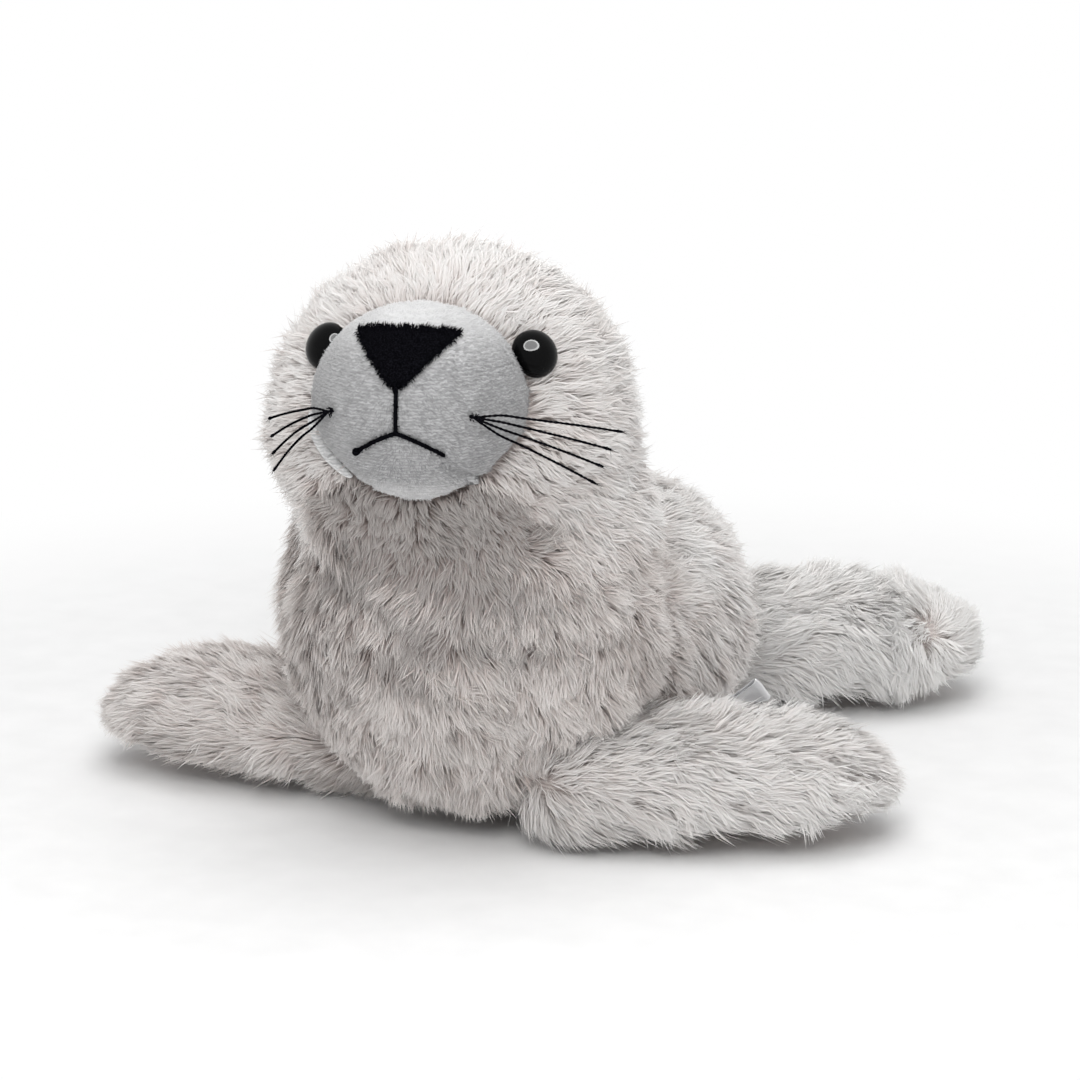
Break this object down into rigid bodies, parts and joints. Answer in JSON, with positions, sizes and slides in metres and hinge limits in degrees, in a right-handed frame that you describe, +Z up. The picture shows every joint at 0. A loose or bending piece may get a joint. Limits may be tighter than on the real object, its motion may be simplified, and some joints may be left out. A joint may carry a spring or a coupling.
{
  "type": "plush seal",
  "caption": "Plush seal lying on its belly with raised head: long pale grey fur, short-pile muzzle, stitched black nose and mouth, black safety eyes, thread whiskers.",
  "frame": {"origin": "on the floor, under the middle of the seal's overall box", "axes": "+Z up; the seal's body points along -Y, from tail to chest; +X is the seal's own left"},
  "size_m": [0.274, 0.3078, 0.1889],
  "materials": {
    "long_pile_fur": "long brushed pile",
    "short_pile_velour": "short pile",
    "black_thread": "satin thread",
    "black_eye_plastic": "gloss",
    "white_washer_plastic": "matt",
    "label_tape": "woven tape"
  },
  "bodies": {
    "root": {"body": "long_pile_fur", "muzzle": "short_pile_velour", "nose_embroidery": "black_thread", "mouth_stitching": "black_thread", "left_eye": "black_eye_plastic", "right_eye": "black_eye_plastic", "left_eye_washer": "white_washer_plastic", "right_eye_washer": "white_washer_plastic", "left_front_flipper": "long_pile_fur", "right_front_flipper": "long_pile_fur", "left_rear_flipper": "long_pile_fur", "right_rear_flipper": "long_pile_fur", "left_whisker_1": "black_thread", "left_whisker_2": "black_thread", "left_whisker_3": "black_thread", "left_whisker_4": "black_thread", "right_whisker_1": "black_thread", "right_whisker_2": "black_thread", "right_whisker_3": "black_thread", "right_whisker_4": "black_thread", "sewn_label": "label_tape"}
  },
  "joints": []
}
